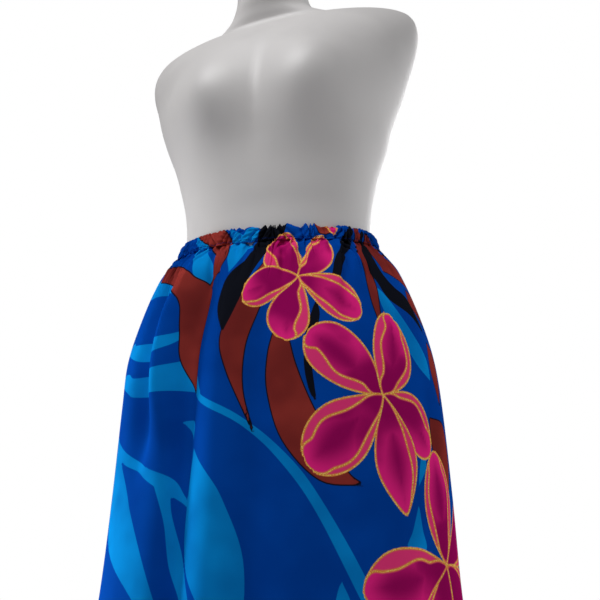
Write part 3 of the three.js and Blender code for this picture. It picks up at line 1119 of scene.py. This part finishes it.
@dataclass(frozen=True)
class PrintedCloth:
    """Smooth printed crepe, its inks laid by the fields of the print.

    A range is where a step begins and ends, in metres from a drawn line: `soft`
    at an ink's edge, `outline` for the black round the brown, `heart` and
    `shade` for the deep tone round a flower's heart and inside a petal's edge,
    `line` for the gold and `halo` for the coral beside it, and `thread_edge`
    across a stitch. `glitter_and_painted_glints` splits the grain of the gold glitter
    into the ink's deeper gold and bright grains painted as glints, and `dash` gives
    each stitch's length.
    """

    ground: Colour = linear((3, 71, 168))
    ground_deep: Colour = linear((2, 63, 154))
    turquoise: Colour = linear((8, 142, 222))
    turquoise_deep: Colour = linear((6, 118, 194))
    brown: Colour = linear((150, 54, 48))
    brown_deep: Colour = linear((118, 40, 38))
    black: Colour = linear((20, 22, 30))
    magenta: Colour = linear((242, 40, 136))
    magenta_deep: Colour = linear((156, 12, 92))
    rim: Colour = linear((238, 60, 126))
    # gold is the bright grains of the glitter print, painted glints; gold_deep is the ink's own
    # deeper gold.
    gold: Colour = linear((255, 222, 112))
    gold_deep: Colour = linear((228, 140, 62))
    coral: Colour = linear((232, 96, 96))
    thread: Colour = linear((6, 34, 96))
    soft: Range = (-0.0004, 0.0004)
    outline: Range = (0.0018, 0.0010)
    heart: Range = (0.095, 0.020)
    heart_drift: float = 0.050
    shade: Range = (-0.001, -0.030)
    line: Range = (0.0013, 0.0006)
    halo: Range = (0.0025, 0.0011)
    glitter_and_painted_glints: Range = (0.46, 0.58)
    glitter_rough: float = 0.0020
    hem_turn: float = 0.015
    turn_edge: float = 0.0008
    seam: float = 0.0020
    casing_stitch: float = 0.0020
    stitch: float = 0.0030
    dash: Range = (0.40, 0.34)
    thread_edge: Range = (0.00045, 0.00025)
    thread_sunk: float = 0.5

    def ground_inks(self, graph: Graph, cloud: Value) -> bpy.types.NodeSocket:
        """Colours the ground under leaves of each ink.

        Args:
            graph: the material's graph.
            cloud: soft clouds over the cloth.

        Returns:
            The colour's socket.
        """
        shades = {
            Ink.TURQUOISE: graph.mix(cloud, self.turquoise, self.turquoise_deep),
            Ink.BROWN: graph.mix(cloud, self.brown, self.brown_deep),
            Ink.BLACK: self.black,
        }
        colour = graph.mix(cloud, self.ground, self.ground_deep)
        for ink, shade in shades.items():
            edge = graph.attribute(ink.value)
            if ink is Ink.BROWN:
                colour = graph.mix(edge.step(*self.outline), colour, self.black)
            colour = graph.mix(1.0 - edge.step(*self.soft), colour, shade)
        return colour

    def petals(self, graph: Graph, under: bpy.types.NodeSocket, cloud: Value,
               grain: Value) -> bpy.types.NodeSocket:
        """Lays the flowers over the ground, petal by petal, each with its gold lines.

        Args:
            graph: the material's graph.
            under: the ground's colour.
            cloud: soft clouds over the cloth.
            grain: fine grain over the cloth.

        Returns:
            The colour's socket.
        """
        drifted = graph.attribute("heart") + self.heart_drift * (cloud - 0.5)
        heart = drifted.step(*self.heart)
        # The gold glitter: the ink's deeper gold, with bright grains that are painted glints.
        glitter_and_painted_glints = graph.mix(grain.step(*self.glitter_and_painted_glints), self.gold_deep, self.gold)
        colour = under
        for slot in range(LAYERS * PETALS):
            edge, rim = graph.attribute(f"edge_{slot}"), graph.attribute(f"rim_{slot}")
            shaded = heart.larger(edge.step(*self.shade))
            petal = graph.mix(shaded, self.magenta, self.magenta_deep)
            petal = graph.mix(rim.step(*self.soft), petal, self.rim)
            line = edge.size().smaller(rim.size().larger(edge))
            petal = graph.mix(line.step(*self.halo), petal, self.coral)
            colour = graph.mix(1.0 - edge.step(*self.soft), colour, petal)
            rough = line + self.glitter_rough * (grain - 0.5)
            colour = graph.mix(rough.step(*self.line), colour, glitter_and_painted_glints)
        return colour

    def stitches(self, line: Value, run: Value) -> Value:
        """A row of stitches along `run`, where `line` is 0."""
        dash = (run * (1.0 / self.stitch)).part() - 0.5
        return line.size().step(*self.thread_edge) * dash.size().step(*self.dash)

    def material(self) -> bpy.types.Material:
        """Builds the node graph.

        Returns:
            The material.
        """
        graph = Graph.named("printed_cloth")
        place = graph.place()
        cloud = graph.noise(place, scale=16.0).step(low=0.3, high=0.7)
        grain = graph.noise(place, scale=950.0, detail=1.0)
        weave = graph.noise(place, scale=1300.0, detail=1.0, stretch=(1.0, 1.0, 0.5))
        colour = self.petals(graph, self.ground_inks(graph, cloud), cloud, grain)
        along, side, hem = (graph.attribute(name) for name in ("along", "side", "hem"))
        under_casing = hem - (SKIRT_LENGTH - CASING_DEPTH + self.casing_stitch)
        sewn = self.stitches(hem - self.hem_turn, along).larger(self.stitches(under_casing, along))
        colour = graph.mix(sewn, colour, self.thread)
        turned = hem.step(self.hem_turn + self.turn_edge, self.hem_turn - self.turn_edge)
        relief = turned + side.step(0.0, self.seam) - self.thread_sunk * sewn
        sewn_normal = graph.bump(relief, distance=0.0004)
        normal = graph.bump(weave, distance=0.0002, strength=0.3, under=sewn_normal)
        return graph.finish(Base_Color=colour, Roughness=0.75, Normal=normal, IOR=1.1,
                            Specular_IOR_Level=0.01)


@dataclass(frozen=True)
class FormShell:
    """Smooth off-white shell of the dress form."""

    colour: Colour = linear((212, 209, 208))
    worn: Colour = linear((204, 201, 200))
    roughness: float = 0.42
    roughness_grain: float = 0.10

    def material(self) -> bpy.types.Material:
        """Builds the node graph.

        Returns:
            The material.
        """
        graph = Graph.named("form_shell")
        place = graph.place()
        cloud = graph.noise(place, scale=9.0, detail=3.0)
        grain = graph.noise(place, scale=420.0)
        colour = graph.mix(cloud.step(low=0.45, high=0.75), self.colour, self.worn)
        normal = graph.bump(grain, distance=0.0002, strength=0.2)
        return graph.finish(Base_Color=colour, Normal=normal,
                            Roughness=self.roughness + self.roughness_grain * grain)


@dataclass(frozen=True)
class BrightMetal:
    """Metal of the stand, with fine turned or drawn lines."""

    name: str
    colour: Colour
    roughness: float
    stretch: Point
    roughness_lines: float = 0.12

    def material(self) -> bpy.types.Material:
        """Builds the node graph.

        Returns:
            The material.
        """
        graph = Graph.named(self.name)
        lines = graph.noise(graph.place(), scale=60.0, detail=3.0, stretch=self.stretch)
        normal = graph.bump(lines, distance=0.0001, strength=0.15)
        return graph.finish(Base_Color=(*self.colour, 1.0), Metallic=1.0, Normal=normal,
                            Roughness=self.roughness + self.roughness_lines * lines)


CHROME = BrightMetal("stand_chrome", (0.75, 0.75, 0.76), 0.10, (1.0, 1.0, 0.05))
STEEL = BrightMetal("stand_steel", (0.60, 0.60, 0.61), 0.28, (1.0, 1.0, 1.0))


# --- Pieces ---


@dataclass(frozen=True)
class Gathers:
    """Uneven gathers along a stitched edge: round puffs with sharp creases between.

    `spread` is how uneven their widths are, `depth` the range of the creases'
    depths, `reach` the range of lengths over which they die out and `slant`
    how far they wander sideways, in gathers. `crumple` is the depth of the small
    slanting puckers over them and `crumple_length` their spacing down the cloth.
    Each row of SWAYS is the size, waves and phase of a part of their wander.
    """

    seed: int
    count: int = 41
    spread: Range = (0.5, 1.8)
    depth: Range = (0.0046, 0.0080)
    reach: Range = (0.020, 0.075)
    crests: Range = (0.0, 0.35)
    slant: float = 0.9
    slant_reach: float = 0.020
    crumple: float = 0.0016
    crumple_length: float = 0.0085
    crumple_reach: float = 0.016
    puckers: float = 1.7

    SWAYS = ((1.0, 3.3, 1.0), (0.7, 8.7, 0.0))
    PUFF = 0.65
    RIDGE = 0.8
    RIDGE_SHARE = 0.6

    def ranged(self, low_high: Range, salt: int) -> Array:
        """A seeded number in a range for each crease."""
        return np.random.default_rng(self.seed + salt).uniform(*low_high, self.count + 1)

    def place(self, share: Array) -> Array:
        """Spreads the cloth along the edge, in gathers of uneven width.

        Args:
            share: shares of the cloth's width.

        Returns:
            The shares of the edge where they go.
        """
        widths = self.ranged(self.spread, 1)[1:]
        edges = np.concatenate([[0.0], np.cumsum(widths)]) / widths.sum()
        return np.interp(share * self.count, np.arange(self.count + 1), edges)

    def dip(self, share: Array, down: Array, top: float) -> Array:
        """Gives how far points lie under the crests.

        Args:
            share: their shares of the cloth's width.
            down: their distances down.
            top: the distance down of the stitched edge.

        Returns:
            The depths.
        """
        creases = np.arange(self.count + 1)
        sway = sum(size * np.sin(2 * math.pi * waves * share + phase)
                   for size, waves, phase in self.SWAYS)
        wander = self.slant * ease(0.0, self.slant_reach, np.abs(down - top))
        slanted = share * self.count + wander * sway
        puff = np.abs(np.sin(math.pi * slanted)) ** self.PUFF
        ridge = np.abs(np.sin(2 * math.pi * slanted + sway)) ** self.RIDGE
        depth = np.interp(slanted, creases, self.ranged(self.depth, 2))
        reach = np.interp(slanted, creases, self.ranged(self.reach, 3))
        crest = np.interp(slanted, creases, self.ranged(self.crests, 4))
        fade = 1.0 - ease(0.0, 1.0, (down - top) / reach)
        waves = self.puckers * slanted + down / self.crumple_length + sway
        crumpled = 0.5 + 0.5 * np.sin(2 * math.pi * waves)
        crumple = self.crumple * (1.0 - ease(0.0, self.crumple_reach, down - top))
        crested = 1.0 - crest * (1.0 - self.RIDGE_SHARE * ridge)
        return depth * (1.0 - puff * crested) * fade + crumple * crumpled


@dataclass(frozen=True)
class SkirtPanel:
    """One of the two trapezoid panels, gathered into the casing at its top.

    Each row of STRETCHES is where a stretch of the length starts and ends and
    how many rows of points it has.
    """

    name: str
    node: str
    middle: float
    design: PrintDesign
    gathers: Gathers
    surface: SkirtSurface
    top_width: float = 0.560
    hem_width: float = 0.800
    columns: int = 113
    thickness: float = 0.0008
    even_from: float = 0.120
    seam_pinch: float = 0.0014
    pinch_reach: float = 0.006

    STRETCHES = ((CASING_DEPTH, 0.090, 42), (0.090, 0.420, 82), (0.420, SKIRT_LENGTH, 66))

    def downs(self) -> Array:
        """The rows' distances down the cloth, closest where the cloth is gathered."""
        parts = [np.linspace(*stretch, endpoint=False) for stretch in self.STRETCHES]
        return np.concatenate([*parts, [SKIRT_LENGTH]])

    def fields(self, share: Array, down: Array) -> dict[str, Array]:
        """Works out the print's fields and the distances from the cloth's edges.

        Args:
            share: places across the cloth, as shares of its width.
            down: distances down.

        Returns:
            The fields by name.
        """
        width = self.top_width + (self.hem_width - self.top_width) * down / SKIRT_LENGTH
        u = (share - 0.5) * width
        edges = {"along": u, "side": 0.5 * width - np.abs(u), "hem": SKIRT_LENGTH - down}
        return self.design.fields(u, down) | edges

    def build(self, material: bpy.types.Material) -> bpy.types.Object:
        """Builds and dresses the panel.

        Args:
            material: the printed cloth.

        Returns:
            The panel.
        """
        downs = self.downs()
        fine, middling, _ = np.cumsum([rows for _, _, rows in self.STRETCHES])
        sheet = Sheet(self.name, len(downs), self.columns, finer=(middling, fine))
        down = downs[sheet.row]
        blend = ease(CASING_DEPTH, self.even_from, down)
        share = self.gathers.place(sheet.share) * (1.0 - blend) + sheet.share * blend
        angle = self.surface.angles(self.middle, share, sheet.row, downs)
        pinch = 1.0 - ease(CASING_DEPTH, CASING_DEPTH + self.pinch_reach, down)
        inset = self.gathers.dip(sheet.share, down, CASING_DEPTH) + self.seam_pinch * pinch
        piece = sheet.build(self.surface.place(angle, down, inset), self.fields(share, down))
        wall = piece.modifiers.new("wall", "SOLIDIFY")
        wall.thickness = self.thickness
        wall.offset = -1.0
        wall.use_even_offset = False
        dress(piece, "printed_cloth", material, self.node)
        area = 0.5 * (self.top_width + self.hem_width) * SKIRT_LENGTH
        return piece


@dataclass(frozen=True)
class Casing:
    """The turned top of the two panels round hidden elastic, ruffled all the way round.

    `profile` runs round the casing's cut edge: the distance down and the
    distance out of the form, starting and ending at its inner lower corner.
    `settle` is how far a dip lowers the top edge over it, as a share of the
    dip, and `dipped` the distances out between which a dip sets in.
    """

    panels: tuple[SkirtPanel, SkirtPanel]
    columns: int = 1121
    steps: int = 2
    flat_width: float = 1.120
    settle: float = 0.9
    settle_reach: float = 0.007
    dipped: Range = (0.0010, 0.0060)
    profile: tuple[Place, ...] = (
        (0.0198, 0.0036), (0.0100, 0.0008), (0.0012, 0.0008), (-0.0006, 0.0016),
        (-0.0002, 0.0032), (0.0008, 0.0052), (0.0028, 0.0072), (0.0055, 0.0086),
        (0.0085, 0.0094), (0.0115, 0.0099), (0.0140, 0.0101), (0.0165, 0.0101),
        (0.0190, 0.0100), (0.0204, 0.0095), (0.0206, 0.0070), (0.0198, 0.0036))
    form: FormSurface = FormSurface()

    def build(self, material: bpy.types.Material) -> bpy.types.Object:
        """Builds and dresses the casing, gathered and printed as the panels under it.

        Args:
            material: the printed cloth.

        Returns:
            The casing.
        """
        profile = smooth_run(np.array(self.profile), self.steps)
        sheet = Sheet("casing", len(profile), self.columns)
        down, out = profile[sheet.row].T
        half = np.minimum(np.floor(2.0 * sheet.share), 1.0)
        own = 2.0 * sheet.share - half
        dip, angle, fields = np.empty_like(own), np.empty_like(own), {}
        for index, panel in enumerate(self.panels):
            here = half == index
            share = panel.gathers.place(own[here])
            angle[here] = panel.surface.angles(panel.middle, share, np.zeros(share.shape, int),
                                               np.array([CASING_DEPTH]))
            dip[here] = panel.gathers.dip(own[here], np.maximum(down[here], 0.0), CASING_DEPTH)
            down[here] += self.settle * dip[here] * (1.0 - ease(0.0, self.settle_reach, down[here]))
            for name, values in panel.fields(share, down[here]).items():
                fields.setdefault(name, np.empty_like(own))[here] = values
        places = self.form.place(angle, -down, out - dip * ease(*self.dipped, out))
        piece = sheet.build(places, fields, joined=True)
        dress(piece, "printed_cloth", material, "casing_front", "casing_back")
        return piece


@dataclass(frozen=True)
class DressForm:
    """The limbless form, smooth and closed at the neck and underneath."""

    columns: int = 160
    rows: int = 220
    cap_rise: float = 0.002
    surface: FormSurface = FormSurface()

    def build(self, material: bpy.types.Material) -> bpy.types.Object:
        """Builds and dresses the form.

        Args:
            material: its shell.

        Returns:
            The form.
        """
        above = np.linspace(FORM_BOTTOM, FORM_TOP, self.rows)
        above = np.concatenate([[FORM_BOTTOM], above, [FORM_TOP]])[::-1]
        sheet = Sheet("form", self.rows + 2, self.columns + 1)
        angle = 2 * math.pi * sheet.share
        places = self.surface.place(angle, above[sheet.row], np.zeros_like(angle))
        for end, rise in ((0, self.cap_rise), (self.rows + 1, 0.0)):
            ring = sheet.row == end
            places[ring] = places[ring][1:].mean(axis=0) + np.array([0.0, 0.0, rise])
        piece = sheet.build(places, joined=True)
        dress(piece, "form_shell", material, "torso")
        return piece


# --- The studio ---


@dataclass(frozen=True)
class SoftLight:
    """A soft square light that points at a place, its beam `spread` degrees wide."""

    name: str
    at: Point
    aim: Point
    size: float
    power: float
    spread: float = 180.0

    def build(self) -> None:
        """Adds the light."""
        light = bpy.data.lights.new(self.name, "AREA")
        light.shape = "SQUARE"
        light.size = self.size
        light.energy = self.power
        light.spread = math.radians(self.spread)
        lamp = bpy.data.objects.new(self.name, light)
        lamp.location = self.at
        way = Vector(self.aim) - Vector(self.at)
        lamp.rotation_euler = way.to_track_quat("-Z", "Y").to_euler()
        bpy.context.scene.collection.objects.link(lamp)


@dataclass(frozen=True)
class Studio:
    """Pale floor, white surroundings, soft lights and the camera."""

    camera_at: Point = (0.2416, -0.7935, 0.780)
    pitch: float = 15.31
    yaw: float = 15.0
    lens: float = 42.0
    sensor: float = 36.0
    floor_size: float = 6.0
    floor_drop: float = 0.001
    seen: tuple[float, ...] = (1.0, 1.0, 1.0, 1.0)
    glow: tuple[float, ...] = (0.95, 0.97, 1.0, 1.0)
    glow_strength: float = 0.16
    lights: tuple[SoftLight, ...] = (
        SoftLight("key", (-1.4, 0.12, 0.72), (0.0, 0.0, 0.72), 0.5, 3.0, 65.0),
        SoftLight("top", (-0.4, -1.05, 2.75), (0.0, 0.0, 1.2), 1.2, 30.0),
        SoftLight("fill", (1.7, 0.6, 1.15), (0.0, 0.0, 1.1), 1.4, 12.0),
        SoftLight("back", (0.4, 1.9, 2.0), (0.0, 0.0, 1.1), 1.8, 26.0))

    def floor(self) -> None:
        """Lays the floor."""
        bm = bmesh.new()
        bmesh.ops.create_grid(bm, x_segments=1, y_segments=1, size=self.floor_size / 2)
        floor = make_object("floor", bm)
        paint = Graph.named("floor_paint").finish(Base_Color=(0.8, 0.8, 0.8, 1.0), Roughness=0.8)
        floor.data.materials.append(paint)
        floor.location.z = -self.floor_drop

    def world(self) -> None:
        """Surrounds the object with white, and lights it with a weaker glow."""
        graph = Graph(bpy.data.worlds.new("studio"), "ShaderNodeOutputWorld")
        seen = graph.node("ShaderNodeBackground", None, {"Color": self.seen})
        glow = graph.node("ShaderNodeBackground", None,
                          {"Color": self.glow, "Strength": self.glow_strength})
        by_camera = graph.node("ShaderNodeLightPath").outputs["Is Camera Ray"]
        graph.show(graph.node("ShaderNodeMixShader", None,
                              {0: by_camera, 1: glow.outputs[0], 2: seen.outputs[0]}))
        bpy.context.scene.world = graph.owner

    def camera(self) -> None:
        """Places the camera, which looks up a little from below the waist."""
        lens = bpy.data.cameras.new("camera")
        lens.lens = self.lens
        lens.sensor_width = self.sensor
        camera = bpy.data.objects.new("camera", lens)
        camera.location = self.camera_at
        camera.rotation_euler = (math.radians(90.0 + self.pitch), 0.0, math.radians(self.yaw))
        bpy.context.scene.collection.objects.link(camera)
        bpy.context.scene.camera = camera

    def build(self) -> None:
        """Builds the studio."""
        self.floor()
        for light in self.lights:
            light.build()
        self.world()
        self.camera()
        bpy.context.scene.view_settings.view_transform = "Standard"


def main() -> None:
    """Builds every piece in order."""
    logging.basicConfig(level=logging.INFO)
    Studio().build()
    cloth = PrintedCloth().material()
    front = SkirtPanel("panel_front", "skirt_front", 0.0, FRONT_PRINT, Gathers(seed=11),
                       SkirtSurface(folds=FOLDS + FRONT_CREASES))
    back = SkirtPanel("panel_back", "skirt_back", math.pi, BACK_PRINT, Gathers(seed=23),
                      SkirtSurface(folds=FOLDS + BACK_CREASES))
    pieces = (DressForm().build(FormShell().material()), front.build(cloth),
              back.build(cloth), Casing((front, back)).build(cloth))
    for piece in pieces:
        log.info("%s: %d faces", piece.name, len(piece.data.polygons))
    for node, finish in (("pole", CHROME), ("base", STEEL)):
        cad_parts[node].data.materials[0] = finish.material()
        log.info("%s: %s", node, finish.name)


if __name__ == "__main__":
    main()
